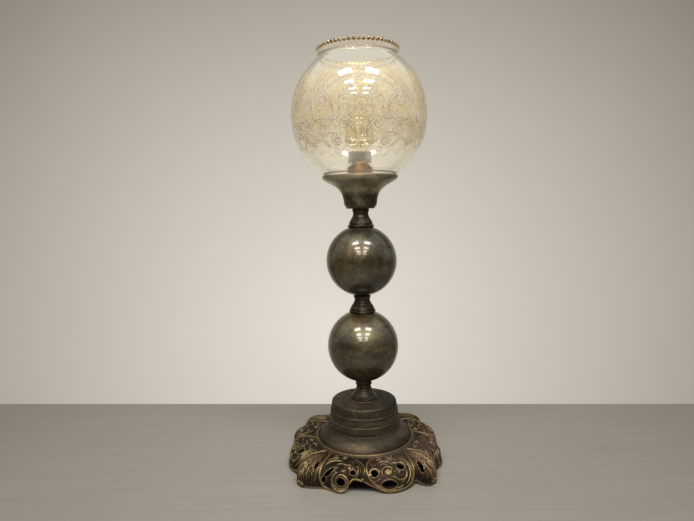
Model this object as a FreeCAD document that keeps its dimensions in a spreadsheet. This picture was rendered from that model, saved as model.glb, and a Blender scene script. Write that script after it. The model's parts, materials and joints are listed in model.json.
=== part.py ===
import FreeCAD, Part
import math
import os
import Sketcher

# Table lamp with a glass globe: a pierced cast skirt, a stepped turned cap, two hollow balls on a
# threaded pipe, a flared holder cup, a small screw lampholder and a lift-off glass globe.
# Millimetres, +Z up, the lamp's axis on Z and the table at z = 0.  The front is -Y.

os.makedirs("parts", exist_ok=True)
doc = FreeCAD.newDocument("globe_lamp")
vec = FreeCAD.Vector
sheet = doc.addObject("Spreadsheet::Sheet", "sizes")


class Size:
    """A number together with the sheet formula that gives it."""

    def __init__(self, number, formula):
        self.number, self.formula = number, formula

    def __add__(self, other):
        other = as_size(other)
        return Size(self.number + other.number, "(%s + %s)" % (self.formula, other.formula))

    def __radd__(self, other):
        return as_size(other) + self

    def __sub__(self, other):
        other = as_size(other)
        return Size(self.number - other.number, "(%s - %s)" % (self.formula, other.formula))

    def __rsub__(self, other):
        return as_size(other) - self

    def __mul__(self, other):
        other = as_size(other)
        return Size(self.number * other.number, "(%s * %s)" % (self.formula, other.formula))

    def __rmul__(self, other):
        return as_size(other) * self

    def __truediv__(self, other):
        other = as_size(other)
        return Size(self.number / other.number, "(%s / %s)" % (self.formula, other.formula))

    def __neg__(self):
        return Size(-self.number, "(0 - %s)" % self.formula)


def as_size(value):
    return value if isinstance(value, Size) else Size(float(value), "%.6f" % value)


def root(value):
    return Size(math.sqrt(value.number), "sqrt(%s)" % value.formula)


def cosine(degrees):
    return Size(math.cos(math.radians(degrees)), "cos(%.4f)" % degrees)


def sine(degrees):
    return Size(math.sin(math.radians(degrees)), "sin(%.4f)" % degrees)


class Sizes:
    """Every size is written once, here, and becomes one named cell of the sheet."""

    def __init__(self):
        self.row = 0

    def add(self, name, number):
        self.row += 1
        sheet.set("A%d" % self.row, name)
        sheet.set("B%d" % self.row, "%g" % number)
        sheet.setAlias("B%d" % self.row, name)
        value = Size(float(number), "sizes." + name)
        setattr(self, name, value)


size = Sizes()
for name, number in (
    # threaded pipe that ties the stack together, and the fits on it
    ("pipe_radius", 4.85), ("pipe_bore_radius", 3.4), ("pipe_foot_height", 6.0),
    ("pipe_play", 0.25), ("thread_play", 0.05), ("seat_gap", 0.3),
    # cast skirt
    ("casting_height", 22.6), ("casting_waist_radius", 79.5), ("casting_wall", 3.5),
    ("flange_width", 20.0),
    ("lobe_root_radius", 81.5), ("lobe_arc_radius", 19.0), ("lobe_end_radius", 83.0),
    ("corner_root_radius", 86.5), ("corner_arc_radius", 13.8),
    ("waist_arc_radius", 50.0), ("valley_arc_radius", 12.0),
    ("flange_thickness", 4.0), ("rim_bead_radius", 1.4),
    ("shoulder_radius", 70.0), ("arch_height", 8.0), ("arch_half_width", 11.5),
    ("eye_radius", 3.2), ("leaf_half_length", 7.0), ("leaf_arc_radius", 9.0),
    ("scroll_eye_radius", 3.8), ("piercing_circle_radius", 70.5),
    # stepped cap
    ("cap_skirt_radius", 50.3), ("cap_top_height", 41.8), ("cap_top_radius", 36.2),
    ("cap_wall", 2.0), ("cap_step", 1.6), ("cap_skirt_lip", 1.6), ("cap_skirt_round", 30.0),
    ("cap_top_round", 3.2), ("cap_ring_radius", 17.6),
    # clamp below
    ("plate_play", 11.0), ("plate_overlap", 5.0), ("plate_thickness", 1.6), ("washer_radius", 9.5),
    ("washer_thickness", 1.2), ("nut_corner_radius", 8.1), ("nut_height", 5.5),
    ("bushing_flange_radius", 5.6), ("bushing_flange", 1.2), ("bushing_length", 7.0),
    ("bushing_bore_radius", 2.3),
    # balls and necks
    ("ball_radius", 39.35), ("ball_wall", 1.6), ("ball_seat_radius", 8.0),
    ("neck_flange_radius", 14.5), ("neck_waist_radius", 7.8), ("neck_end_radius", 9.1),
    ("lower_neck_height", 19.4), ("middle_neck_height", 17.5), ("upper_neck_height", 19.4),
    ("flange_on_ball", 0.5), ("flange_on_cap", 2.0), ("flange_edge", 0.9), ("bead_round", 1.35),
    ("short_bell", 6.0), ("tall_bell", 26.0),
    # holder cup
    ("cup_height", 36.9), ("cup_rim_radius", 42.3), ("cup_barrel_radius", 19.2),
    ("cup_foot_radius", 15.8), ("cup_wall", 1.6), ("cup_flare_radius", 21.0),
    ("seat_depth", 5.7), ("seat_wall", 5.0),
    # glass globe
    ("globe_radius", 76.0), ("globe_end_radius", 47.5), ("globe_half_height", 62.8),
    ("globe_wall", 2.4), ("fitter_play", 1.1), ("fitter_height", 3.2),
    ("shoulder_rise", 6.6), ("collar_radius", 45.9), ("collar_height", 8.0),
    ("crimp_height", 3.9), ("crimp_flare", 1.2), ("shoulder_round", 14.0),
    # lampholder
    ("holder_hub_height", 6.0), ("holder_hub_radius", 7.4), ("holder_lift", 19.3),
    ("holder_radius", 14.5), ("holder_straight", 14.0), ("holder_taper", 12.2),
    ("holder_mouth_radius", 8.6), ("holder_wall", 1.0), ("holder_lip", 1.6),
    ("block_height", 9.6), ("shell_radius", 6.6), ("shell_wall", 0.45), ("shell_height", 25.5),
    ("liner_radius", 7.4), ("liner_wall", 0.5), ("stud_height", 4.9), ("stud_radius", 1.7),
    ("terminal_radius", 2.2), ("terminal_length", 3.0),
    ("sleeve_radius", 13.1), ("sleeve_skirt_radius", 17.3), ("sleeve_height", 22.3),
    ("sleeve_skirt_height", 11.0), ("sleeve_wall", 1.2), ("sleeve_bore_play", 0.3),
    ("sleeve_flare_round", 16.0),
    # bulb
    ("bulb_thread_play", 0.1), ("bulb_cap_height", 17.0), ("bulb_cap_wall", 0.4),
    ("bulb_tip_radius", 2.6), ("bulb_tip_height", 1.2), ("bulb_ring_height", 1.4),
    ("bulb_neck_depth", 4.0),
    ("bulb_radius", 16.5), ("bulb_glass_height", 64.0), ("bulb_glass_wall", 0.8),
    ("bulb_stem_radius", 1.9), ("wire_radius", 0.35), ("filament_radius", 0.25), ("filament_spread", 7.5),
):
    size.add(name, number)
doc.recompute()

# Heights of the stack, each from the one below it.
flange_under = size.casting_height - size.flange_thickness
plate_under = flange_under - size.plate_thickness
cap_top = size.casting_height + size.cap_top_height
ball_half = root(size.ball_radius * size.ball_radius - size.ball_seat_radius * size.ball_seat_radius)
lower_ball_centre = cap_top + size.lower_neck_height + ball_half
middle_neck_foot = lower_ball_centre + ball_half
upper_ball_centre = middle_neck_foot + size.middle_neck_height + ball_half
upper_neck_foot = upper_ball_centre + ball_half
cup_foot = upper_neck_foot + size.upper_neck_height
cup_floor = cup_foot + size.cup_wall
seat_height = cup_foot + size.cup_height - size.seat_depth
holder_foot = cup_foot + size.holder_lift
holder_plate = holder_foot + size.holder_hub_height
block_foot = holder_plate + size.holder_wall
shell_foot = block_foot + size.block_height
sleeve_foot = holder_plate + size.holder_straight + size.holder_lip
bulb_foot = shell_foot + size.stud_height + size.seat_gap
bulb_cap_foot = bulb_foot + size.bulb_tip_height + size.bulb_ring_height
bulb_cap_top = bulb_cap_foot + size.bulb_cap_height
globe_foot = seat_height + size.seat_gap
pipe_clear = size.pipe_radius + size.pipe_play
pipe_thread = size.pipe_radius + size.thread_play

# Radii that fit each other: the plate inside the casting's flange, the globe inside the cup's rim.
casting_hollow = size.casting_waist_radius - size.casting_wall
flange_inner = casting_hollow - size.flange_width
plate_radius = flange_inner - size.plate_play
casting_bore = plate_radius - size.plate_overlap
seat_radius = size.cup_rim_radius - size.seat_wall
fitter_radius = seat_radius - size.fitter_play

finished = []


def start_body(label):
    body = doc.addObject("PartDesign::Body", label)
    body.Label = label
    finished.append(body)
    return body


def origin_part(body, role):
    return [item for item in body.Origin.OriginFeatures if item.Role == role][0]


def start_sketch(body, role):
    sketch = body.newObject("Sketcher::SketchObject", body.Label + "_sketch")
    sketch.AttachmentSupport = [(origin_part(body, role), "")]
    sketch.MapMode = "FlatFace"
    return sketch


def left(radius):
    return (1, as_size(radius))


def right(radius):
    return (-1, as_size(radius))


def point_angle(point, centre):
    return math.atan2(point.y - centre.y, point.x - centre.x)


def trace(sketch, loop):
    """Draws one closed loop.  A point is (x, y), or (x, y, arc) where the edge that leaves it is an
    arc that turns left or right.  Every coordinate and radius is bound to the sheet."""
    corners = [(as_size(p[0]), as_size(p[1])) + tuple(p[2:]) for p in loop]
    edges = []
    for index, corner in enumerate(corners):
        after = corners[(index + 1) % len(corners)]
        a = vec(corner[0].number, corner[1].number, 0)
        b = vec(after[0].number, after[1].number, 0)
        if len(corner) == 2:
            edges.append((sketch.addGeometry(Part.LineSegment(a, b)), 1, 2))
            continue
        turn, radius = corner[2]
        chord = b - a
        rise = math.sqrt(max(radius.number ** 2 - (chord.Length / 2) ** 2, 0.0))
        side = vec(-chord.y, chord.x, 0)
        side.normalize()
        centre = (a + b) * 0.5 + side * (turn * rise)
        first, last = (a, b) if turn > 0 else (b, a)
        low, high = point_angle(first, centre), point_angle(last, centre)
        if high < low:
            high += 2 * math.pi
        arc = Part.ArcOfCircle(Part.Circle(centre, vec(0, 0, 1), radius.number), low, high)
        number = sketch.addGeometry(arc)
        edges.append((number, 1, 2) if turn > 0 else (number, 2, 1))
        row = sketch.addConstraint(Sketcher.Constraint("Radius", number, radius.number))
        sketch.setExpression("Constraints[%d]" % row, radius.formula)
    for index, (number, head, tail) in enumerate(edges):
        following = edges[(index + 1) % len(edges)]
        sketch.addConstraint(Sketcher.Constraint("Coincident", number, tail, following[0], following[1]))
        for kind, value, axis in (("DistanceX", corners[index][0], -2), ("DistanceY", corners[index][1], -1)):
            if value.formula == "0.000000":
                sketch.addConstraint(Sketcher.Constraint("PointOnObject", number, head, axis))
                continue
            row = sketch.addConstraint(Sketcher.Constraint(kind, -1, 1, number, head, value.number))
            sketch.setExpression("Constraints[%d]" % row, value.formula)


def circle(sketch, x, y, radius):
    x, y = as_size(x), as_size(y)
    shape = Part.Circle(vec(x.number, y.number, 0), vec(0, 0, 1), radius.number)
    number = sketch.addGeometry(shape)
    for kind, value, at in (("DistanceX", x, (-1, 1, number, 3)), ("DistanceY", y, (-1, 1, number, 3)),
                            ("Radius", radius, (number,))):
        row = sketch.addConstraint(Sketcher.Constraint(kind, *at, value.number))
        sketch.setExpression("Constraints[%d]" % row, value.formula)


def lift(thing, height):
    thing.setExpression(".Placement.Base.z", as_size(height).formula)


def turned(label, loop, height=None):
    """A turned or spun piece: one closed profile, with radius across and height up."""
    body = start_body(label)
    sketch = start_sketch(body, "XZ_Plane")
    trace(sketch, loop)
    spin = body.newObject("PartDesign::Revolution", label + "_turned")
    spin.Profile = sketch
    spin.ReferenceAxis = (sketch, ["V_Axis"])
    spin.Angle = 360
    sketch.Visibility = False
    if height is not None:
        lift(body, height)
    return body


def cut_around(body, loop):
    """A groove turned right round the axis; it must take metal away."""
    doc.recompute()
    before = body.Shape.Volume
    sketch = start_sketch(body, "XZ_Plane")
    trace(sketch, loop)
    groove = body.newObject("PartDesign::Groove", body.Label + "_groove")
    groove.Profile = sketch
    groove.ReferenceAxis = (sketch, ["V_Axis"])
    groove.Angle = 360
    doc.recompute()
    if not body.Shape.Volume < before:
        raise ValueError("a groove in %s takes nothing away" % body.Label)
    return groove


def cut_through(body, role, draw, reverse, copies):
    """A pocket through everything on one side of its plane, repeated round the axis."""
    doc.recompute()
    before = body.Shape.Volume
    sketch = start_sketch(body, role)
    draw(sketch)
    pocket = body.newObject("PartDesign::Pocket", body.Label + "_pocket")
    pocket.Profile = sketch
    pocket.Type = "ThroughAll"
    pocket.Reversed = reverse
    doc.recompute()
    once = before - body.Shape.Volume
    if once <= 0:
        raise ValueError("a pocket in %s takes nothing away" % body.Label)
    ring = body.newObject("PartDesign::PolarPattern", body.Label + "_ring")
    ring.Originals = [pocket]
    ring.Axis = (origin_part(body, "Z_Axis"), [""])
    ring.Angle = 360
    ring.Occurrences = copies
    body.Tip = ring
    doc.recompute()
    if abs(before - body.Shape.Volume - copies * once) > 0.02 * copies * once:
        raise ValueError("the repeated pocket in %s is not even" % body.Label)
    return ring


def tube(label, inner, outer, length, height):
    return turned(label, [(inner, 0), (outer, 0), (outer, length), (inner, length)], height)


def hex_nut(label, height):
    """A six-sided nut with its bore, on the pipe thread."""
    prism = doc.addObject("Part::Prism", label + "_hexagon")
    prism.Polygon = 6
    prism.setExpression("Circumradius", size.nut_corner_radius.formula)
    prism.setExpression("Height", size.nut_height.formula)
    bore = doc.addObject("Part::Cylinder", label + "_bore")
    bore.setExpression("Radius", pipe_thread.formula)
    bore.setExpression("Height", size.nut_height.formula)
    nut = doc.addObject("Part::Cut", label)
    nut.Base, nut.Tool, nut.Label = prism, bore, label
    lift(nut, height)
    finished.append(nut)
    return nut


# ---------------------------------------------------------------- cast skirt
def casting():
    """The pierced, lobed skirt: a lobed plate domed on top and hollowed below, then pierced."""
    body = start_body("base_casting")
    plan = start_sketch(body, "XY_Plane")
    loop = []
    for quarter in range(4):
        turn = 90 * quarter - 90
        for angle, reach, arc in (
            (8, size.lobe_root_radius, left(size.lobe_arc_radius)),
            (28, size.lobe_end_radius, right(size.valley_arc_radius)),
            (36, size.corner_root_radius, left(size.corner_arc_radius)),
            (54, size.corner_root_radius, right(size.valley_arc_radius)),
            (62, size.lobe_end_radius, left(size.lobe_arc_radius)),
            (82, size.lobe_root_radius, right(size.waist_arc_radius)),
        ):
            loop.append((reach * cosine(angle + turn), reach * sine(angle + turn), arc))
    trace(plan, loop)
    pad = body.newObject("PartDesign::Pad", "base_casting_plate")
    pad.Profile = plan
    pad.setExpression("Length", (size.casting_height + size.rim_bead_radius).formula)
    top = size.casting_height
    above = top + size.rim_bead_radius + 5
    bead_in = size.cap_skirt_radius + 0.9
    bead_out = bead_in + 2 * size.rim_bead_radius
    reach = size.corner_root_radius + size.corner_arc_radius
    cut_around(body, [
        (0, top), (bead_in, top, right(size.rim_bead_radius * 1.02)), (bead_out, top),
        (size.shoulder_radius, top - 0.9, right(size.shoulder_radius * 0.32)),
        (size.shoulder_radius + 14, top - 8.2, right(size.shoulder_radius * 0.5)),
        (reach, top * 0.1), (reach + 6, top * 0.1), (reach + 6, above), (0, above)])
    cut_around(body, [
        (0, -1), (casting_hollow, -1), (casting_hollow, top - 10.6), (casting_hollow - 6, top - 4.8),
        (flange_inner, flange_under), (casting_bore, flange_under), (casting_bore, above), (0, above)])

    circle_radius = size.piercing_circle_radius

    def piercings(sketch):
        for angle, eye in ((-88, size.eye_radius), (-101, size.eye_radius * 0.8), (-66, size.eye_radius)):
            circle(sketch, circle_radius * cosine(angle), circle_radius * sine(angle), eye)
        near, far = circle_radius - 5, circle_radius + 3
        corners = ((near, -113), (near + 1.5, -116), (far, -121), (far - 1.5, -118))
        trace(sketch, [(reach * cosine(angle), reach * sine(angle)) for reach, angle in corners])

    cut_through(body, "XY_Plane", piercings, True, 4)

    def wall_openings(sketch):
        level = top * 0.36
        circle(sketch, -size.casting_waist_radius * 0.34, level, size.scroll_eye_radius)
        centre = size.casting_waist_radius * 0.3
        ends = (centre - size.leaf_half_length, centre + size.leaf_half_length)
        trace(sketch, [(end, level, left(size.leaf_arc_radius)) for end in ends])
        foot = -size.casting_waist_radius * 0.05
        trace(sketch, [
            (foot - size.arch_half_width, -1), (foot + size.arch_half_width, -1),
            (foot + size.arch_half_width * 0.55, size.arch_height * 0.7, left(size.arch_half_width * 0.75)),
            (foot - size.arch_half_width * 0.55, size.arch_height * 0.7)])
        side = size.casting_waist_radius * 0.6
        trace(sketch, [(side - 4.5, -1), (side + 4.5, -1), (side, size.arch_height * 0.45)])

    cut_through(body, "XZ_Plane", wall_openings, True, 4)
    return body


casting()

# ---------------------------------------------------------------- stepped cap, from its seat up
cap, step, skirt, wall = size.cap_top_height, size.cap_step, size.cap_skirt_radius, size.cap_wall
top_drum = size.cap_top_radius
middle_drum, low_drum, skirt_top = top_drum + step, top_drum + 2 * step, top_drum + 3.4 * step
groove, taper = 0.6, 0.4
low_step, middle_step, top_step = cap * 0.3, cap * 0.485, cap * 0.7
turned("base_cap", [
    (skirt - 3.4, 0), (skirt, 0), (skirt, size.cap_skirt_lip, left(size.cap_skirt_round)),
    (skirt_top, cap * 0.27), (skirt_top - groove, low_step), (low_drum, low_step + taper),
    (low_drum - taper, middle_step - taper),
    (low_drum - taper - groove, middle_step), (middle_drum, middle_step + taper),
    (middle_drum - taper, top_step - taper), (middle_drum - taper - groove, top_step),
    (top_drum, top_step + taper), (top_drum - 0.9, cap * 0.93, left(size.cap_top_round)),
    (top_drum - 3.4, cap - 1.7), (size.cap_ring_radius + 0.8, cap - 0.35), (size.cap_ring_radius, cap),
    (pipe_clear, cap), (pipe_clear, cap - wall), (size.cap_ring_radius, cap - wall),
    (top_drum - wall - 2.2, cap - wall - 1.6), (top_drum - wall - 1.2, cap * 0.88),
    (top_drum - wall, top_step),
    (middle_drum - wall - groove, cap * 0.6), (low_drum - wall - groove, cap * 0.4),
    (skirt_top - wall - groove, cap * 0.26)],
    size.casting_height)

# ---------------------------------------------------------------- clamp, pipe and inlet
turned("clamp_plate", [
    (pipe_clear, 0), (plate_radius - 2, 0), (plate_radius, 0.6), (plate_radius, size.plate_thickness),
    (pipe_clear, size.plate_thickness)], plate_under)
washer_under = plate_under - size.washer_thickness
tube("clamp_washer", pipe_clear, size.washer_radius, size.washer_thickness, washer_under)
hex_nut("clamp_nut", washer_under - size.nut_height)
pipe_length = holder_plate - size.pipe_foot_height
tube("threaded_pipe", size.pipe_bore_radius, size.pipe_radius, pipe_length, size.pipe_foot_height)
plug = size.pipe_bore_radius - size.thread_play
turned("cord_inlet_bushing", [
    (size.bushing_bore_radius + 0.6, 0), (size.bushing_flange_radius - 0.5, 0),
    (size.bushing_flange_radius, 0.5), (size.bushing_flange_radius, size.bushing_flange),
    (plug, size.bushing_flange), (plug, size.bushing_length),
    (size.bushing_bore_radius, size.bushing_length), (size.bushing_bore_radius, 0.7)],
    size.pipe_foot_height - size.bushing_flange)


# ---------------------------------------------------------------- balls and necks
def ball(label, centre):
    """A hollow ball with a flat and a hole at each pole, which the necks clamp on."""
    inner = size.ball_radius - size.ball_wall
    level = ball_half - size.ball_wall
    throat = root(inner * inner - level * level)
    turned(label, [
        (size.ball_seat_radius, -ball_half, left(size.ball_radius)), (size.ball_seat_radius, ball_half),
        (pipe_clear, ball_half), (pipe_clear, level), (throat, level, right(inner)), (throat, -level),
        (pipe_clear, -level), (pipe_clear, -ball_half)], centre)


def neck(label, height, bead, foot, on_ball):
    """A turned spool: flange below, a bell up to a bead, a waist and a flared end."""
    flange, waist, end = size.neck_flange_radius, size.neck_waist_radius, size.neck_end_radius
    if on_ball:
        over = size.ball_radius + size.seat_gap
        start = size.ball_seat_radius + 0.6
        loop = [(pipe_clear, 0), (size.ball_seat_radius, 0),
                (start, root(over * over - start * start) - ball_half, right(over)),
                (flange - 0.2, root(over * over - (flange - 0.2) * (flange - 0.2)) - ball_half)]
    else:
        loop = [(pipe_clear, 0), (flange - 0.4, 0), (flange, 0.6)]
    shoulder = size.flange_on_ball if on_ball else size.flange_on_cap
    loop += [(flange, shoulder, left(size.flange_edge)), (flange - 1.1, shoulder + 0.7)]
    if on_ball:
        loop += [(flange - 2.3, shoulder + 0.9, right(size.short_bell)), (waist + 0.6, bead - 2.2)]
    else:
        loop += [(flange - 2.3, shoulder + 0.9), (waist + 2.0, shoulder + 3.6, right(size.tall_bell)),
                 (waist + 0.5, bead - 2.0)]
    groove, bulge = waist - 0.3, waist + 0.6
    loop += [(groove, bead - 1.6), (groove, bead - 1.2), (bulge, bead - 1.1, left(size.bead_round)),
             (bulge, bead + 1.1), (groove, bead + 1.2), (groove, bead + 1.7), (waist, bead + 2.0,
             right(height * 0.8)), (end, height - 0.3), (end - 0.3, height), (pipe_clear, height)]
    turned(label, loop, foot)


neck("lower_neck", size.lower_neck_height, size.lower_neck_height * 0.8, cap_top, False)
ball("lower_ball", lower_ball_centre)
neck("middle_neck", size.middle_neck_height, size.middle_neck_height * 0.44, middle_neck_foot, True)
ball("upper_ball", upper_ball_centre)
neck("upper_neck", size.upper_neck_height, size.upper_neck_height * 0.5, upper_neck_foot, True)

# ---------------------------------------------------------------- holder cup
rim, barrel, tall = size.cup_rim_radius, size.cup_barrel_radius, size.cup_height
ledge = tall - size.seat_depth
turned("holder_cup", [
    (pipe_clear, 0), (size.cup_foot_radius - 0.6, 0), (size.cup_foot_radius, 0.5),
    (barrel - 1.3, tall * 0.09), (barrel, tall * 0.27, right(size.cup_flare_radius)),
    (rim - 6.2, tall * 0.785), (rim - 1.0, tall * 0.88),
    (rim, tall * 0.915), (rim, tall - 0.4), (rim - 0.4, tall), (rim - size.cup_wall, tall),
    (rim - size.cup_wall, tall * 0.935), (seat_radius, ledge), (rim - 8.3, ledge), (rim - 9.2, ledge - 0.9,
    left(size.cup_flare_radius + size.cup_wall)), (barrel - size.cup_wall, tall * 0.28),
    (barrel - size.cup_wall - 1.1, tall * 0.12), (size.cup_foot_radius - 1.2, size.cup_wall),
    (pipe_clear, size.cup_wall)], cup_foot)
tube("cup_washer", pipe_clear, size.washer_radius, size.washer_thickness, cup_floor)
hex_nut("cup_nut", cup_floor + size.washer_thickness)

# ---------------------------------------------------------------- lampholder
hub, shell, thin = size.holder_hub_height, size.holder_radius, size.holder_wall
straight_top = hub + size.holder_straight
taper_top = straight_top + size.holder_taper
lip_radius = size.holder_mouth_radius
turned("lampholder_cap", [
    (pipe_thread, 0), (size.holder_hub_radius, 0), (size.holder_hub_radius, hub - 1.4), (shell - 1.6, hub),
    (shell, hub + 1.6), (shell, straight_top), (lip_radius, taper_top),
    (lip_radius + 0.4, taper_top + 0.3, left(0.75)), (lip_radius, taper_top + size.holder_lip),
    (lip_radius - thin, taper_top + size.holder_lip), (lip_radius - thin, taper_top),
    (shell - thin, straight_top), (shell - thin, hub + thin), (pipe_thread, hub + thin)], holder_foot)


def lampholder_block():
    """The moulded block that carries the screw shell, with a flat each side for a terminal."""
    body = start_body("lampholder_block")
    sketch = start_sketch(body, "XY_Plane")
    outer = shell - thin - size.thread_play
    flat = outer - size.terminal_length
    reach = root(outer * outer - flat * flat)
    trace(sketch, [(flat, -reach), (flat, reach, left(outer)), (-flat, reach), (-flat, -reach, left(outer))])
    pad = body.newObject("PartDesign::Pad", "lampholder_block_pad")
    pad.Profile = sketch
    pad.setExpression("Length", size.block_height.formula)
    lift(body, block_foot)
    return flat


block_flat = lampholder_block()
for side, label in ((-1, "terminal_screw_left"), (1, "terminal_screw_right")):
    screw = doc.addObject("Part::Cylinder", label)
    screw.Label = label
    screw.setExpression("Radius", size.terminal_radius.formula)
    screw.setExpression("Height", (size.terminal_length * 0.7).formula)
    screw.Placement.Rotation = FreeCAD.Rotation(vec(0, 1, 0), 90 * side)
    screw.setExpression(".Placement.Base.x", (block_flat * side).formula)
    screw.setExpression(".Placement.Base.z", (block_foot + size.block_height * 0.5).formula)
    finished.append(screw)

shell_inner = size.shell_radius - size.shell_wall
tube("lampholder_screw_shell", shell_inner, size.shell_radius, size.shell_height, shell_foot)
liner_inner = size.liner_radius - size.liner_wall
tube("lampholder_liner", liner_inner, size.liner_radius, size.shell_height + 0.6, shell_foot)
stud, stud_top, stud_foot = size.stud_radius, size.stud_height, size.stud_radius * 2.2
turned("centre_contact", [
    (0, 0), (stud_foot, 0), (stud_foot, 0.8), (stud, 1.4), (stud, stud_top - 0.5), (stud - 0.5, stud_top),
    (0, stud_top)], shell_foot)

sleeve, bell, sleeve_top = size.sleeve_radius, size.sleeve_skirt_radius, size.sleeve_height
skirt_high, wall, play = size.sleeve_skirt_height, size.sleeve_wall, size.sleeve_bore_play
lip_bore = lip_radius + 1.0 + play
liner_bore = size.liner_radius + play
turned("lampholder_sleeve", [
    (bell - wall, 0), (bell, 0), (bell - 0.3, skirt_high * 0.2, right(size.sleeve_flare_round)),
    (sleeve, skirt_high), (sleeve, sleeve_top - 0.5), (sleeve - 0.5, sleeve_top), (liner_bore, sleeve_top),
    (liner_bore, skirt_high + 2.4), (lip_bore, skirt_high + 1.4), (lip_bore, skirt_high - 0.5),
    (sleeve - wall + 0.1, skirt_high - 1.6, left(size.sleeve_flare_round)),
    (bell - wall - 0.3, skirt_high * 0.2)], sleeve_foot)

# ---------------------------------------------------------------- bulb
cap_radius = shell_inner - size.bulb_thread_play
tip, tip_high, ring_high = size.bulb_tip_radius, size.bulb_tip_height, size.bulb_ring_height
turned("bulb_tip_contact", [(0, 0), (tip - 0.8, 0), (tip, 0.7), (tip, tip_high), (0, tip_high)], bulb_foot)
turned("bulb_base_insulator", [
    (0, 0), (tip + 0.4, 0), (cap_radius - 0.4, ring_high), (0, ring_high)], bulb_foot + tip_high)
high = size.bulb_cap_height
cap_in = cap_radius - size.bulb_cap_wall
turned("bulb_screw_cap", [
    (0, 0), (cap_radius - 0.4, 0), (cap_radius, 0.6), (cap_radius, high), (cap_in, high),
    (cap_in, 2 * size.bulb_cap_wall), (0, 2 * size.bulb_cap_wall)], bulb_cap_foot)
glass_foot = bulb_cap_top - size.bulb_neck_depth
neck_r = cap_in - size.seat_gap
full, length, skin = size.bulb_radius, size.bulb_glass_height, size.bulb_glass_wall
turned("bulb_glass", [
    (0, 0), (neck_r, 0), (neck_r, 4.2, right(14)), (full * 0.8, length * 0.2, left(24)),
    (full, length * 0.36, left(46)), (full * 0.72, length * 0.68, left(60)), (full * 0.22, length * 0.93),
    (0, length), (0, length - skin * 1.6), (full * 0.22 - skin * 0.8, length * 0.93 - skin * 0.4,
    right(60)), (full * 0.72 - skin, length * 0.68, right(46)), (full - skin, length * 0.36,
    right(24)), (full * 0.8 - skin, length * 0.2, left(14)), (neck_r - skin, 4.2 + skin),
    (neck_r - skin, skin), (0, skin)], glass_foot)
mount_top = length * 0.2
stem_foot, press = neck_r - skin - size.seat_gap, size.bulb_stem_radius
turned("bulb_stem", [
    (0, 0), (stem_foot, 0), (stem_foot, 1.4), (press, 4.4), (press * 0.8, mount_top * 0.7), (press, mount_top),
    (0, mount_top)], glass_foot + skin)


def wire(label, radius, stations):
    """A bent wire: straight runs of one radius with a ball at each bend."""
    solid = None
    for a, b in zip(stations[:-1], stations[1:]):
        run = Part.makeCylinder(radius, (b - a).Length, a, b - a)
        solid = run if solid is None else solid.fuse(run)
    for station in stations[1:-1]:
        solid = solid.fuse(Part.makeSphere(radius, station))
    item = doc.addObject("Part::Feature", label)
    item.Label = label
    item.Shape = solid.removeSplitter()
    finished.append(item)
    return item


def cell(name):
    return float(sheet.get(name))


stem_top = (glass_foot + skin + mount_top).number
wire_r, thread_r, spread = cell("wire_radius"), cell("filament_radius"), cell("filament_spread")
support_top = stem_top + cell("bulb_glass_height") * 0.26
for side, label in ((-1, "bulb_lead_left"), (1, "bulb_lead_right")):
    wire(label, wire_r, [vec(side * 1.1, 0, stem_top), vec(side * 1.4, 0, stem_top + 2.0),
                         vec(side * spread, 0, support_top)])
tops = [vec(-spread, 0, support_top + wire_r + thread_r), vec(-spread * 0.5, 2.6, support_top + 3.0),
        vec(0, 0, support_top + 1.2), vec(spread * 0.5, -2.6, support_top + 3.0),
        vec(spread, 0, support_top + wire_r + thread_r)]
wire("bulb_filament", thread_r, tops)

# ---------------------------------------------------------------- glass globe
wide, end, half, glass = size.globe_radius, size.globe_end_radius, size.globe_half_height, size.globe_wall
bow = wide - end
arc = (half * half + bow * bow) / (2 * bow)
arc_in = arc - glass
shift = wide - arc
half_in = root(arc_in * arc_in - (end - glass - shift) * (end - glass - shift))
low = size.fitter_height + size.shoulder_rise
middle = low + half
top_end = middle + half
collar = size.collar_radius
rim_foot = top_end + 0.6 + size.collar_height
rim_top = rim_foot + size.crimp_height
fitter, crimp = fitter_radius, collar + size.crimp_flare
turned("glass_globe", [
    (fitter - glass, 0), (fitter, 0), (fitter, size.fitter_height, right(size.shoulder_round)),
    (end, low, left(arc)), (end, top_end), (collar, top_end + 0.6), (collar, rim_foot),
    (crimp, rim_top), (crimp - glass * 0.8, rim_top),
    (collar - glass, rim_foot - 0.4), (collar - glass, middle + half_in + 0.5),
    (end - glass, middle + half_in, right(arc_in)),
    (end - glass, middle - half_in, left(size.shoulder_round + glass)),
    (fitter - glass, size.fitter_height + 0.6)], globe_foot)

doc.recompute()
for thing in finished:
    if "Invalid" in thing.State or "Error" in thing.State:
        raise ValueError("%s is in error" % thing.Label)
    if thing.Shape.isNull() or not thing.Shape.isValid() or len(thing.Shape.Solids) != 1:
        raise ValueError("%s is not one valid solid" % thing.Label)
    thing.Shape.exportStep("parts/%s.step" % thing.Label)
print(len(finished), "sub-parts, total height", max(t.Shape.BoundBox.ZMax for t in finished))
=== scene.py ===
import json
import math

import bpy
import numpy as np
from mathutils import Matrix, Vector


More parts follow.
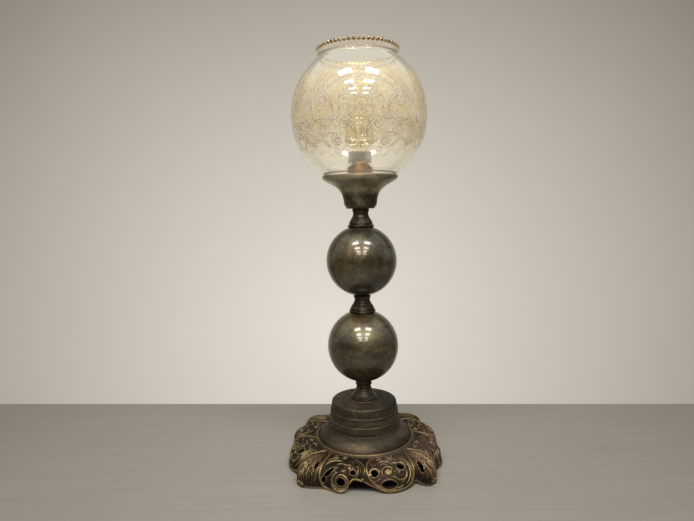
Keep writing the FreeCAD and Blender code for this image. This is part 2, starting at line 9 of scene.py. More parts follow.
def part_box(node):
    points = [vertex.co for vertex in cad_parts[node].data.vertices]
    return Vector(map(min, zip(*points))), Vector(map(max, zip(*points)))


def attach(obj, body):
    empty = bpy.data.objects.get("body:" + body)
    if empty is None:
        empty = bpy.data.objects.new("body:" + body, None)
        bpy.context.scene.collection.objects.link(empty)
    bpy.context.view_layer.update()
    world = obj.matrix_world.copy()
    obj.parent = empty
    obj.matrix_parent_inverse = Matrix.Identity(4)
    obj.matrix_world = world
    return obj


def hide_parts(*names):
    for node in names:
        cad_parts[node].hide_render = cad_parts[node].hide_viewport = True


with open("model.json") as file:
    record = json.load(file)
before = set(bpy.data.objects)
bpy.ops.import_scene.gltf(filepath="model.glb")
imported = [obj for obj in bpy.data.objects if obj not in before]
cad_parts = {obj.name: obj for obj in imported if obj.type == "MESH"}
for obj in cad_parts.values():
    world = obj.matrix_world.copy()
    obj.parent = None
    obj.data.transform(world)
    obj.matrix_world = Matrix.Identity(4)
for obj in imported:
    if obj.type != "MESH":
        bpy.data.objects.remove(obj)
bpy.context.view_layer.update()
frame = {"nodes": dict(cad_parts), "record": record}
MM = 0.001
QUARTER, HALF_QUARTER = 90, 45


# ---- shader maths
class Value:
    """A shader socket that takes part in arithmetic."""

    def __init__(self, finish, socket):
        self.finish, self.socket = finish, socket

    def maths(self, operation, *others, clamp=False):
        node = self.finish.node("ShaderNodeMath", {"operation": operation, "use_clamp": clamp})
        for place, item in enumerate((self,) + others):
            self.finish.feed(node.inputs[place], item)
        return Value(self.finish, node.outputs[0])

    def __add__(self, other):
        return self.maths("ADD", other)

    def __sub__(self, other):
        return self.maths("SUBTRACT", other)

    def __rsub__(self, other):
        return self.maths("MULTIPLY", -1.0).maths("ADD", other)

    def __mul__(self, other):
        return self.maths("MULTIPLY", other)

    __radd__, __rmul__ = __add__, __mul__

    def clamped(self):
        return self.maths("ADD", 0.0, clamp=True)

    def above(self, low, high):
        """0 below low, 1 above high, smooth between."""
        node = self.finish.node("ShaderNodeMapRange", {"interpolation_type": "SMOOTHSTEP", "clamp": True},
                                Value=self, **{"From Min": low, "From Max": high})
        return Value(self.finish, node.outputs["Result"])


def set_stops(ramp, stops):
    """Gives a colour ramp its stops, each a place and a colour."""
    while len(ramp.elements) < len(stops):
        ramp.elements.new(0.5)
    for element, (place, colour) in zip(ramp.elements, stops):
        element.position, element.color = place, tuple(colour) + (1.0,)


class Finish:
    """One material, built from a Principled shader and what feeds it."""

    def __init__(self, name, **constants):
        self.material = bpy.data.materials.new(name)
        self.material.use_nodes = True
        self.tree = self.material.node_tree
        self.shader = self.tree.nodes["Principled BSDF"]
        self.drive(**constants)

    def feed(self, socket, item):
        if isinstance(item, Value):
            self.tree.links.new(item.socket, socket)
        else:
            socket.default_value = item

    def node(self, kind, settings=None, **inputs):
        node = self.tree.nodes.new(kind)
        for name, value in (settings or {}).items():
            setattr(node, name, value)
        for name, item in inputs.items():
            self.feed(node.inputs[name], item)
        return node

    def spot(self):
        return Value(self, self.node("ShaderNodeTexCoord").outputs["Object"])

    def place(self, scale=(1, 1, 1), shift=(0, 0, 0)):
        """Object coordinates in metres, stretched and shifted for a pattern."""
        node = self.node("ShaderNodeMapping", Scale=scale, Location=shift, Vector=self.spot())
        return Value(self, node.outputs[0])

    def height(self):
        """The height above the table in metres."""
        return Value(self, self.node("ShaderNodeSeparateXYZ", Vector=self.spot()).outputs["Z"])

    def distance(self, centre=(0, 0, 0)):
        """The distance from a point, in metres."""
        node = self.node("ShaderNodeVectorMath", {"operation": "LENGTH"},
                         Vector=self.place(shift=tuple(-c for c in centre)))
        return Value(self, node.outputs["Value"])

    def noise(self, scale, detail=4.0, roughness=0.55, distortion=0.0, where=None):
        node = self.node("ShaderNodeTexNoise", Scale=scale, Detail=detail, Roughness=roughness,
                         Distortion=distortion, Vector=where or self.place())
        return Value(self, node.outputs[0])

    def patches(self, scale, shift, low, high, detail=4.0, roughness=0.6, distortion=1.0):
        """Soft-edged patches of a stretched noise, 1 inside and 0 outside."""
        return self.noise(1.0, detail, roughness, distortion, self.place(scale, shift)).above(low, high)

    def cells(self, scale, where):
        node = self.node("ShaderNodeTexVoronoi", Scale=scale, Vector=where)
        return Value(self, node.outputs["Distance"])

    def attribute(self, name):
        node = self.node("ShaderNodeAttribute", {"attribute_name": name})
        return Value(self, node.outputs["Fac"])

    def ramp(self, value, stops):
        node = self.tree.nodes.new("ShaderNodeValToRGB")
        set_stops(node.color_ramp, stops)
        self.feed(node.inputs[0], value)
        return Value(self, node.outputs[0])

    def mix(self, share, first, second):
        node = self.node("ShaderNodeMix", {"data_type": "RGBA"})
        self.feed(node.inputs["Factor"], share)
        for name, item in (("A", first), ("B", second)):
            socket = [s for s in node.inputs if s.name == name and s.type == "RGBA"][0]
            self.feed(socket, item if isinstance(item, Value) else tuple(item) + (1.0,))
        return Value(self, [s for s in node.outputs if s.type == "RGBA"][0])

    def drive(self, **values):
        """Sets inputs of the shader, or links them to a pattern."""
        for name, value in values.items():
            self.feed(self.shader.inputs[name.replace("_", " ")], value)

    def bump(self, height, strength=0.3, distance=0.0005):
        node = self.node("ShaderNodeBump", Height=height, Strength=strength, Distance=distance)
        self.tree.links.new(node.outputs[0], self.shader.inputs["Normal"])


# ---- finishes
def patina(name, dark, mid, light, metallic, gloss, grain, bump=0.15, stretch=1.0, rubbed=None):
    """Old brass or bronze: blotches of two sizes, a fine grain, duller where it is darkest.

    Above a level in metres it can be rubbed to another colour: rubbed is (from, to, share, colour).
    """
    finish = Finish(name, Metallic=metallic)
    blotches = finish.noise(grain, 6.0, 0.62, 0.4, finish.place(scale=(1, 1, stretch)))
    specks = finish.noise(grain * 11, 4.0, 0.6, 0.0, finish.place(scale=(1, 1, stretch)))
    tone = (blotches * 0.72 + specks * 0.28).clamped()
    colour = finish.ramp(tone, ((0.36, dark), (0.49, mid), (0.62, light)))
    if rubbed:
        low, high, share, bare = rubbed
        worn = finish.noise(30.0, 3.0, 0.6).above(0.36, 0.56) * 0.75 + 0.25
        colour = finish.mix(finish.height().above(low, high) * worn * share, colour, bare)
    finish.drive(Base_Color=colour, Roughness=(gloss + 0.28 * (1 - tone)).clamped())
    finish.bump(specks * 0.5 + finish.noise(grain * 40, 2.0) * 0.5, bump, 0.0004)
    return finish.material


def lacquered_bronze():
    """The balls: brown and grey-olive clouds, yellow where bare, pitted, under clear lacquer."""
    finish = Finish("ball_bronze", Metallic=0.72, Coat_Weight=0.9, Coat_Roughness=0.14, Coat_IOR=1.6)
    clouds = finish.noise(16.0, 5.0, 0.6, 0.6)
    grain = finish.noise(420.0, 4.0, 0.6)
    smears = finish.noise(1.0, 5.0, 0.65, 0.5, finish.place((34, 34, 90)))
    tone = (clouds * 0.55 + smears * 0.30 + grain * 0.15).clamped()
    brown = finish.ramp(tone, ((0.42, (0.011, 0.008, 0.003)), (0.50, (0.056, 0.041, 0.016)),
                               (0.58, (0.140, 0.105, 0.044))))
    olive = finish.ramp(tone, ((0.42, (0.016, 0.014, 0.008)), (0.50, (0.060, 0.055, 0.033)),
                               (0.58, (0.140, 0.131, 0.086))))
    colour = finish.mix(finish.noise(13.0, 3.0, 0.5).above(0.44, 0.60), brown, olive)
    bare = finish.patches((26, 26, 44), (3, 1, 2), 0.52, 0.68)
    colour = finish.mix(bare * 0.7, colour, (0.135, 0.082, 0.015))
    rust = finish.patches((30, 30, 60), (7, 2, 5), 0.56, 0.68)
    colour = finish.mix(rust * 0.6, colour, (0.090, 0.038, 0.014))
    pits = 1 - finish.cells(70.0, finish.place(shift=(0.4, 0.1, 0.3))).above(0.07, 0.17)
    pits = pits * finish.noise(21.0, 2.0).above(0.42, 0.54)
    drips = finish.patches((48, 48, 20), (2, 6, 1), 0.50, 0.62, 5.0, 0.7, 0.8)
    colour = finish.mix(drips * 0.55, colour, (0.020, 0.015, 0.007))
    finish.drive(Base_Color=finish.mix(pits * 0.8, colour, (0.020, 0.014, 0.008)),
                 Roughness=(0.40 + 0.20 * (1 - tone)).clamped())
    finish.bump(grain * 0.5 + smears * 0.4 - pits * 0.6, 0.14, 0.0004)
    return finish.material


def cast_brass():
    """Cast scrollwork: dark in the hollows, rubbed golden on the ridges."""
    finish = Finish("cast_brass", Metallic=0.85)
    relief = finish.attribute("carved")
    blotches = finish.noise(60.0, 5.0, 0.6)
    specks = finish.noise(900.0, 3.0, 0.6)
    rubbed = (relief * 1.25 + (blotches - 0.5) * 0.7 + (specks - 0.5) * 0.35).clamped()
    brown = finish.ramp(rubbed, ((0.0, (0.020, 0.015, 0.009)), (0.28, (0.046, 0.034, 0.018)),
                                 (0.60, (0.100, 0.071, 0.034)), (0.98, (0.235, 0.170, 0.078))))
    warm = finish.mix(finish.noise(22.0, 3.0).above(0.5, 0.68) * 0.45, brown, (0.16, 0.075, 0.055))
    olive = finish.mix(finish.noise(15.0, 2.0).above(0.52, 0.66) * 0.35, warm, (0.090, 0.085, 0.058))
    finish.drive(Base_Color=olive, Roughness=(0.62 - 0.20 * rubbed).clamped())
    finish.bump(specks * 0.6 + blotches * 0.4, 0.5, 0.0004)
    return finish.material


def bulb_glass():
    """Clear warm glass with faint smears."""
    finish = Finish("bulb_glass", Base_Color=(0.97, 0.92, 0.78, 1.0), Transmission_Weight=0.98, IOR=1.48,
                    Coat_Weight=0.3)
    finish.drive(Roughness=(0.05 * finish.noise(9.0, 3.0, 0.5, 1.2).above(0.52, 0.75)).clamped())
    finish.bump(finish.noise(14.0, 2.0), 0.08, 0.001)
    return finish.material


def sleeve_grey():
    """Smoke-grey translucent sleeve, hazy round the bulb's cap and thin and clear on its skirt."""
    finish = Finish("sleeve_grey", Base_Color=(0.80, 0.70, 0.645, 1.0), Transmission_Weight=0.78, IOR=1.46)
    body = finish.height().above(0.3262, 0.3272)
    finish.drive(Alpha=(0.10 + 0.85 * body).clamped(),
                 Roughness=(0.05 + 0.05 * finish.noise(60.0)).clamped())
    finish.bump(finish.noise(90.0, 2.0), 0.1, 0.0005)
    return finish.material


def globe_glass():
    """Warm clear glass with a faint painted glow, gilt on the teeth of its rim."""
    # the emission is a painted glow: the glass gives off a faint warm light though it is no lamp
    finish = Finish("globe_glass", Transmission_Weight=0.94, IOR=1.48, Coat_Weight=0.3,
                    Emission_Color=(1.0, 0.90, 0.68, 1.0), Emission_Strength=0.040)
    gilt = finish.attribute("gilt")
    collar = finish.height().above(0.4425, 0.4440)
    flecks = finish.noise(420.0, 3.0, 0.6)
    gold = finish.ramp(flecks, ((0.38, (0.26, 0.14, 0.035)), (0.5, (0.72, 0.47, 0.14)),
                                (0.60, (1.0, 0.84, 0.44))))
    worn = (gilt + (flecks - 0.5) * 0.9 * gilt).above(0.25, 0.6)
    clear = finish.mix(collar, (0.995, 0.98, 0.92), (0.97, 0.89, 0.81))
    finish.drive(Base_Color=finish.mix(worn, clear, gold), Metallic=worn * 0.9,
                 Roughness=(0.012 + 0.2 * worn).clamped())
    finish.bump(finish.noise(14.0, 2.0) + flecks * worn * 0.6, 0.08, 0.001)
    return finish.material


def lustre_film():
    """The gold lustre on the globe: outlined scrolls over a lace of fine flecks."""
    finish = Finish("lustre_film", Metallic=0.1, Roughness=0.5, Coat_Weight=1.0, Coat_Roughness=0.02)
    scroll, band = finish.attribute("scroll"), finish.attribute("band")
    inner = scroll.above(0.80, 0.90)
    edge = scroll.above(0.08, 0.30) * (1 - inner)
    lace = finish.noise(480.0, 3.0, 0.65).above(0.42, 0.56)
    patches = finish.noise(60.0, 3.0, 0.6).above(0.34, 0.60)
    fill = band * (0.16 + 0.36 * lace) * (0.45 + 0.55 * patches) * (1 - 0.8 * inner)
    cover = fill.maths("MAXIMUM", edge * (0.46 + 0.26 * patches)).maths("MAXIMUM", inner * 0.16)
    gold = finish.mix(finish.noise(90.0, 3.0).above(0.35, 0.65), (0.84, 0.62, 0.19), (0.95, 0.76, 0.36))
    shade = finish.mix(edge * 0.85, gold, (0.36, 0.23, 0.135))
    finish.drive(Base_Color=finish.mix(inner, shade, (0.90, 0.76, 0.62)), Alpha=cover.clamped())
    return finish.material


# dark, mid and light colour, metallic, gloss, size of the grain, then what differs from the usual
PATINAS = {
    "cap_bronze": ((0.014, 0.010, 0.006), (0.040, 0.030, 0.018), (0.094, 0.066, 0.038), 0.7, 0.44, 24.0,
                   0.3, 3.0),
    "neck_brass": ((0.015, 0.011, 0.007), (0.040, 0.031, 0.018), (0.098, 0.076, 0.046), 0.8, 0.27, 80.0),
    "cup_bronze": ((0.026, 0.018, 0.010), (0.100, 0.078, 0.046), (0.25, 0.205, 0.135), 0.85, 0.28, 38.0,
                   0.3, 1.0, (0.288, 0.297, 0.9, (0.56, 0.49, 0.34))),
    "plated_steel": ((0.20, 0.19, 0.17), (0.38, 0.37, 0.34), (0.52, 0.51, 0.48), 1.0, 0.3, 60.0),
    "lampholder_brass": ((0.060, 0.019, 0.004), (0.19, 0.066, 0.012), (0.40, 0.19, 0.040), 0.85, 0.24, 110.0,
                         0.15, 1.0, (0.3238, 0.3246, 1.0, (1.0, 0.76, 0.28))),
    "contact_bronze": ((0.30, 0.17, 0.06), (0.52, 0.34, 0.14), (0.70, 0.52, 0.26), 1.0, 0.25, 120.0),
    "moulded_black": ((0.010, 0.009, 0.008), (0.018, 0.016, 0.014), (0.030, 0.027, 0.024), 0.0, 0.35, 80.0),
    "inlet_black": ((0.008, 0.008, 0.008), (0.014, 0.014, 0.013), (0.024, 0.023, 0.022), 0.0, 0.4, 90.0),
    "liner_board": ((0.16, 0.115, 0.07), (0.24, 0.18, 0.115), (0.32, 0.25, 0.17), 0.0, 0.6, 140.0),
    "bulb_brass": ((0.38, 0.30, 0.17), (0.58, 0.48, 0.30), (0.72, 0.62, 0.42), 1.0, 0.22, 150.0),
    "filament_wire": ((0.10, 0.095, 0.09), (0.22, 0.21, 0.20), (0.36, 0.35, 0.33), 1.0, 0.3, 300.0),
}
MATERIALS = {name: patina(name, *look) for name, look in PATINAS.items()}
MATERIALS.update(cast_brass=cast_brass(), ball_bronze=lacquered_bronze(), sleeve_grey=sleeve_grey(),
                 globe_glass=globe_glass(), lustre_film=lustre_film(), bulb_glass=bulb_glass())


def dress(piece, finish):
    piece.data.materials.clear()
    piece.data.materials.append(MATERIALS[finish])
    return piece


SLOTS = {row["node"]: row["material_slot"] for row in frame["record"]["subparts"]}
for node, slot in SLOTS.items():
    dress(frame["nodes"][node], slot)


# ---- turned pieces
def clear_selection():
    bpy.ops.object.select_all(action="DESELECT")


def mode(name):
    bpy.ops.object.mode_set(mode=name)


def smooth(points, steps=6):
    """Points on one smooth curve through the given ones."""
    ends = [points[0]] + list(points) + [points[-1]]
    made = []
    for a, b, c, d in zip(ends, ends[1:], ends[2:], ends[3:]):
        for step in range(steps):
            t = step / steps
            made.append(tuple(0.5 * (2 * q + (r - p) * t + (2 * p - 5 * q + 4 * r - s) * t * t
                                     + (3 * q - p - 3 * r + s) * t ** 3) for p, q, r, s in zip(a, b, c, d)))
    return made + [tuple(points[-1])]


def turned(name, outline, foot=0.0, steps=144, smooth_angle=34):
    """Spins a closed outline of (radius, height) in millimetres round the lamp's axis."""
    clear_selection()
    bpy.ops.mesh.primitive_circle_add(vertices=len(outline), radius=0.01)
    piece = bpy.context.object
    piece.name = piece.data.name = name
    for vertex, (radius, height) in zip(piece.data.vertices, outline):
        vertex.co = (radius * MM, 0.0, (foot + height) * MM)
    mode("EDIT")
    act = bpy.ops.mesh
    act.select_all(action="SELECT")
    act.spin(steps=steps, angle=2 * math.pi, center=(0, 0, 0), axis=(0, 0, 1))
    act.select_all(action="SELECT")
    act.remove_doubles(threshold=2e-6)
    act.delete_loose()
    act.select_all(action="SELECT")
    act.normals_make_consistent(inside=False)
    mode("OBJECT")
    bpy.ops.object.shade_smooth_by_angle(angle=math.radians(smooth_angle))
    return piece


def keep_as(piece, name, values):
    """Stores one number for each vertex, for a material to read."""
    layer = piece.data.attributes.new(name, "FLOAT", "POINT")
    layer.data.foreach_set("value", np.ascontiguousarray(values, dtype=np.float32))


def finished(piece, body, slot, replaced=None):
    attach(piece, body)
    if replaced:
        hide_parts(replaced)
    return dress(piece, slot)


def foot_of(node):
    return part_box(node)[0].z / MM


BORE, BALL_WALL, CLAMP_PLATE_THICK = 5.1, 1.6, 1.6


def stepped_cap():
    outer = [(47.0, 0.0), (50.2, 0.0), (50.3, 0.9)]
    outer += smooth([(50.1, 1.6), (48.9, 4.2), (46.4, 7.4), (43.4, 9.9), (40.9, 11.3)], 4)
    for low_r, low_z, high_r, high_z in ((40.1, 12.0, 38.9, 20.0), (38.3, 20.6, 37.5, 28.9),
                                         (37.0, 29.5, 35.9, 37.6)):
        outer += [(low_r + 0.55, low_z - 0.45), (low_r + 0.62, low_z), (low_r + 0.45, low_z + 0.5)]
        middle = (low_z + high_z) / 2
        outer += smooth([(low_r - 0.25, low_z + 1.1), (low_r - 0.5, middle), (high_r, high_z - 0.2)], 3)
    outer += smooth([(35.6, 38.6), (34.6, 39.6), (33.0, 40.1)], 3)
    outer += smooth([(30.0, 40.5), (24.0, 41.1), (18.6, 41.35)], 3)
    outer += [(18.2, 41.1), (17.7, 41.2), (17.4, 41.75), (16.8, 41.8), (BORE, 41.8)]
    inner = [(BORE, 39.9), (30.0, 38.6), (33.5, 37.0), (34.5, 29.0), (36.0, 20.0), (37.6, 11.5), (44.0, 6.5),
             (46.6, 2.0)]
    finished(turned("spun_cap", outer + inner, foot_of("base_cap")), "stand", "cap_bronze", "base_cap")


def polished_ball(name, node):
    low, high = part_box(node)
    centre = (low.z + high.z) / 2 / MM
    half = (high.z - low.z) / 2 / MM
    radius = (high.x - low.x) / 2 / MM
    within = radius - BALL_WALL
    flat = math.degrees(math.acos(half / radius))
    sweep = [math.radians(a) for a in np.linspace(-90 + flat, 90 - flat, 73)]
    outer = [(radius * math.cos(a), radius * math.sin(a)) for a in sweep]
    inner = [(within * math.cos(a), within * math.sin(a)) for a in reversed(sweep[2:-2])]
    outline = [(BORE, -half)] + outer + [(BORE, half), (BORE, half - BALL_WALL)] + inner
    outline.append((BORE, BALL_WALL - half))
    finished(turned(name, outline, centre, 160), "stand", "ball_bronze", node)


BALL_BELL = ((13.5, 0.165), (12.4, 0.27), (10.6, 0.42), (9.2, 0.56), (8.6, 0.67), (8.6, 0.76), (9.1, 0.85),
             (9.7, 0.94))
CAP_BELL = ((13.4, 0.11), (11.8, 0.20), (10.1, 0.33), (8.8, 0.48), (8.1, 0.62), (8.0, 0.72))


def spool(name, node, bell, rings, on_ball):
    """A turned neck: a flange, a trumpet-shaped bell with fine rings, a waist and a plain end."""
    low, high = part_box(node)
    skirt = 1.55 if on_ball else 0.0
    height = (high.z - low.z) / MM - skirt
    outline = [(BORE, 0.0), (8.0, 0.0)]
    if on_ball:
        outline += [(8.6, 0.15), (10.4, -0.30), (12.4, -0.85), (13.9, -1.42)]
        outline += smooth([(14.2, -1.3), (14.6, -0.7), (14.7, 0.2), (14.4, 1.1), (13.7, 1.5)], 3)
        outline += [(12.8, 1.55), (12.6, 2.0), (13.0, 2.5)]
    else:
        outline += smooth([(14.0, 0.0), (14.8, 0.3), (14.9, 1.0), (14.5, 1.6), (13.8, 1.85)], 3)
    trumpet = smooth([(radius, share * height) for radius, share in bell], 8)
    for radius, level in trumpet:
        swell = sum(math.exp(-((level / height - ring) / 0.024) ** 2) for ring in rings)
        outline.append((radius + 0.3 * swell, level))
    if on_ball:
        outline += [(9.5, height * 0.96), (9.2, height * 0.98), (8.8, height)]
    else:
        outline += smooth([(8.2, height * 0.745), (8.9, height * 0.77), (9.1, height * 0.79),
                           (8.8, height * 0.81)], 3)
        outline += [(8.0, height * 0.83), (8.0, height * 0.85)]
        outline += smooth([(8.7, height * 0.87), (9.0, height * 0.92), (8.8, height * 0.985)], 3)
        outline += [(8.6, height)]
    outline.append((BORE, height))
    finished(turned(name, outline, low.z / MM + skirt, 96), "stand", "neck_brass", node)


def flared_cup():
    outer = [(BORE, 0.0), (14.9, 0.0), (15.6, 0.35)]
    outer += smooth([(15.9, 0.9), (17.2, 2.6), (18.1, 4.4), (18.5, 6.5)], 3)
    outer += smooth([(18.9, 9.6), (19.5, 12.6), (21.0, 17.0), (23.9, 21.2), (28.6, 25.2), (33.6, 28.2),
                     (37.6, 30.2)], 6)
    outer += smooth([(40.3, 31.9), (41.6, 33.2), (42.2, 34.4), (42.3, 35.9), (42.0, 36.7), (41.4, 36.9)], 4)
    inner = [(40.9, 36.9), (40.6, 36.4), (40.5, 34.6), (37.5, 31.4), (37.2, 31.2), (34.1, 31.2),
             (33.4, 30.6)]
    inner += smooth([(31.0, 28.9), (26.0, 25.6), (21.8, 21.3), (19.2, 17.0), (17.9, 12.4), (17.2, 6.0),
                     (16.2, 3.8)], 4)
    inner += [(14.6, 1.6), (BORE, 1.6)]
    cup = turned("trumpet_cup", outer + inner, foot_of("holder_cup"))
    finished(cup, "stand", "cup_bronze", "holder_cup")


def seat_ring():
    """The flat flange under the cap and the bead just outside it."""
    foot = foot_of("clamp_plate") + CLAMP_PLATE_THICK
    outline = [(40.0, 0.0), (56.0, 0.0), (56.0, 3.3)] + smooth(
        [(54.6, 4.0), (53.9, 5.2), (52.8, 5.7), (51.7, 5.3), (50.9, 4.0)], 4) + [(40.0, 4.0)]
    ring = turned("seat_ring", outline, foot)
    heights = np.array([vertex.co.z / MM - foot for vertex in ring.data.vertices])
    keep_as(ring, "carved", np.clip((heights - 2.6) / 4.5, 0, 0.55))
    return ring


stepped_cap()
polished_ball("ball_low", "lower_ball")
polished_ball("ball_high", "upper_ball")
spool("spool_low", "lower_neck", CAP_BELL, (0.36, 0.46), False)
spool("spool_middle", "middle_neck", BALL_BELL, (0.36, 0.53), True)
spool("spool_high", "upper_neck", BALL_BELL, (0.40,), True)
flared_cup()


# ---- glass globe
GLOBE_FOOT = foot_of("glass_globe")
GLOBE_WIDE, GLOBE_ARC, GLOBE_WALL = 76.0, 83.4, 2.4
GLOBE_MIDDLE = GLOBE_FOOT + 72.6
CRIMPS, RIM_TALL, TOOTH_SWING, TOOTH_DROP = 56, 3.9, 1.3, 2.0


def globe_radius(height, inset=0.0):
    """The globe's radius at a height above the table."""
    off = height - GLOBE_MIDDLE
    arc = GLOBE_ARC - inset
    return GLOBE_WIDE - GLOBE_ARC + math.sqrt(max(arc * arc - off * off, 0.0))


def crimped_globe():
    """The globe with its fitter neck and collar; its rim is drawn into teeth, which are marked as gilt."""
    level = [GLOBE_MIDDLE + v for v in np.linspace(-62.3, 62.3, 61)]
    foot, top = GLOBE_FOOT, level[-1]
    outer = [(33.8, foot), (36.1, foot), (36.2, foot + 2.4)]
    outer += smooth([(36.3, foot + 3.4), (38.3, foot + 5.2), (42.8, foot + 7.4), (46.3, foot + 9.1)], 4)
    outer += [(globe_radius(v), v) for v in level]
    outer += smooth([(46.2, top + 0.7), (44.9, top + 1.5), (45.0, top + 2.5), (45.8, top + 3.4),
                     (46.0, top + 8.4)], 4)
    outer += smooth([(46.1, top + 9.4), (46.4, top + 10.8), (46.7, top + 12.0), (46.5, top + 12.8),
                     (45.6, top + 13.1), (44.8, top + 12.5), (44.1, top + 11.2), (43.5, top + 9.6)], 2)
    inner = smooth([(43.3, top + 8.0), (43.3, top + 2.6), (44.0, top + 0.6)], 4)
    inner += [(globe_radius(v, GLOBE_WALL), v) for v in reversed(level[1:-1])]
    inner += smooth([(43.2, foot + 10.3), (37.6, foot + 8.2), (34.4, foot + 5.8), (33.8, foot + 3.4)], 4)
    globe = turned("globe", outer + inner, 0.0, CRIMPS * 5, 40)
    rim = top + 9.2
    gilt = []
    for vertex in globe.data.vertices:
        rise = vertex.co.z / MM - rim
        angle = math.atan2(vertex.co.y, vertex.co.x)
        wave = math.cos(angle * CRIMPS)
        gilt.append(min(max((rise + 0.9 + wave * 1.1) / 1.8, 0.0), 1.0))
        if rise > 0:
            share = min(rise / RIM_TALL, 1.0)
            slow = math.sin(angle * 11 + 1.3) * 0.3 + math.sin(angle * 5) * 0.2
            vertex.co.z += (wave * TOOTH_SWING + slow - TOOTH_DROP) * share * MM
            grow = 1.0 + (wave * 0.018 - 0.004) * share
            vertex.co.x *= grow
            vertex.co.y *= grow
    globe.data.update()
    keep_as(globe, "gilt", gilt)
    finished(globe, "globe", "globe_glass", "glass_globe")


crimped_globe()


# ---- drawing on a surface
def evenly(points, gap=0.35):
    """One smooth path through the points, resampled at an even pace along its own length."""
    path = np.array(smooth(points, 12))
    run = np.concatenate([[0], np.cumsum(np.hypot(*np.diff(path, axis=0).T) + 1e-9)])
    wanted = np.linspace(0, run[-1], max(int(run[-1] / gap), 6))
    return np.column_stack([np.interp(wanted, run, path[:, 0]), np.interp(wanted, run, path[:, 1])])


class Drawing:
    """Raised strokes on a surface whose places are a bearing in degrees and a distance in millimetres."""

    def __init__(self, surface, radius, repeat):
        self.surface, self.radius, self.repeat = surface, radius, repeat
        self.strokes = []

    def local(self, centre, across, along):
        """Places given in millimetres round a centre."""
        return (centre[0] + np.degrees(across / self.radius(centre[1] + along * 0.5)), centre[1] + along)

    def stroke(self, points, width, height=1.0, tapered=True):
        path = evenly(points)
        share = np.linspace(0, 1, len(path))
        swell = np.ones(len(path))
        if tapered:
            swell = np.clip(np.sin(np.pi * np.clip(share, 0.02, 0.98)) * 1.5, 0.3, 1.0)
        for shift in (-self.repeat, 0, self.repeat):
            self.strokes.append((self.surface(path[:, 0] + shift, path[:, 1]), width * swell,
                                 height * np.sqrt(swell)))

    def spiral(self, centre, outer, inner, turns, start, width, height=1.0, lead=()):
        """A scroll that winds inwards, after the points that lead into it."""
        steps = np.linspace(0, 1, int(abs(turns) * 14) + 6)
        radius = outer + (inner - outer) * steps ** 0.8
        angle = np.radians(start + 360 * turns * steps)
        points = [self.local(centre, r * math.cos(a), r * math.sin(a)) for r, a in zip(radius, angle)]
        self.stroke(list(lead) + points, width, height)

    def boss(self, centre, radius, height=1.3):
        for shift in (-self.repeat, 0, self.repeat):
            where = self.surface(np.array([centre[0] + shift]), np.array([centre[1]]))
            self.strokes.append((where, np.array([radius]), np.array([height])))

    def fan(self, centre, low, high, count, inner, outer, width, height=1.0):
        """Petals or ribs that spread from a centre."""
        for angle in np.radians(np.linspace(low, high, count)):
            ends = [self.local(centre, r * math.cos(angle), r * math.sin(angle))
                    for r in (inner, (inner + outer) / 2, outer)]
            self.stroke(ends, width, height)

    def relief(self, where):
        """The height of the highest stroke at every place: 0 on bare ground."""
        best = np.zeros(len(where))
        for path, width, height in self.strokes:
            reach = width.max()
            near = np.all((where > path.min(0) - reach) & (where < path.max(0) + reach), axis=1).nonzero()[0]
            if not len(near):
                continue
            gap = np.linalg.norm(where[near, None] - path[None], axis=2)
            nearest = gap.argmin(1)
            share = gap[np.arange(len(near)), nearest] / width[nearest]
            best[near] = np.maximum(best[near], height[nearest] * np.sqrt(np.clip(1 - share ** 2, 0, 1)))
        return best


def four_quarters(first, name):
    """A piece and three copies of it, each a quarter further round the lamp's axis."""
    quarters = [first]
    for number in range(1, 4):
        copy = first.copy()
        copy.data = first.data.copy()
        copy.name = copy.data.name = "%s_%d" % (name, number)
        copy.data.transform(Matrix.Rotation(math.radians(QUARTER * number), 4, "Z"))
        bpy.context.scene.collection.objects.link(copy)
        quarters.append(copy)
    return quarters


def inside(outline, across, along):
    """Which places lie inside a closed outline."""
    hit = np.zeros(len(across), bool)
    for (x0, y0), (x1, y1) in zip(outline, np.roll(outline, -1, axis=0)):
        if y0 != y1:
            crosses = (y0 > along) != (y1 > along)
            hit ^= crosses & (across < (x1 - x0) * (along - y0) / (y1 - y0) + x0)
    return hit


def sheet_of(name, columns, rows, place):
    """A fine grid, 0 to 1 each way, put where place says; returned with its grid and its places."""
    clear_selection()
    bpy.ops.mesh.primitive_grid_add(x_subdivisions=columns, y_subdivisions=rows, size=2.0)
    piece = bpy.context.object
    piece.name = piece.data.name = name
    flat = np.zeros(len(piece.data.vertices) * 3)
    piece.data.vertices.foreach_get("co", flat)
    flat = flat.reshape(-1, 3)
    across, up = (flat[:, 0] + 1) / 2, (flat[:, 1] + 1) / 2
    where = place(across, up)
    piece.data.vertices.foreach_set("co", (where * MM).ravel())
    piece.data.update()
    return piece, across, up, where


# ---- gold lustre band
BAND_FOOT, BAND_TALL, BAND_RADIUS, FILM_GAP = 334.0, 94.0, 72.0, 0.12
BAND_COLUMNS, BAND_ROWS, SCROLL_WIDTH, LEAF_WIDTH = 300, 150, 1.75, 1.35
BAND_LEAVES = (
    ((38, 56), (37.5, 66), (33, 77)), ((35, 59), (32.5, 69), (26.5, 79)), ((31, 62), (27, 70), (21, 75)),
    ((26.5, 60), (22, 66), (17, 68.5)), ((40.5, 40), (42.5, 52), (41, 64)),
    ((23.5, 28), (17.5, 34), (16.5, 42)), ((26, 30), (21, 31.5), (16.5, 30.5)),
    ((14, 10), (9, 6.5), (4, 7.5)), ((17, 70), (12, 73), (6.5, 71)), ((27, 4), (31, 6.5), (34, 11)),
    ((38, 12), (41.5, 9), (45, 8.2)), ((7, 30), (9.5, 37), (8, 44)))


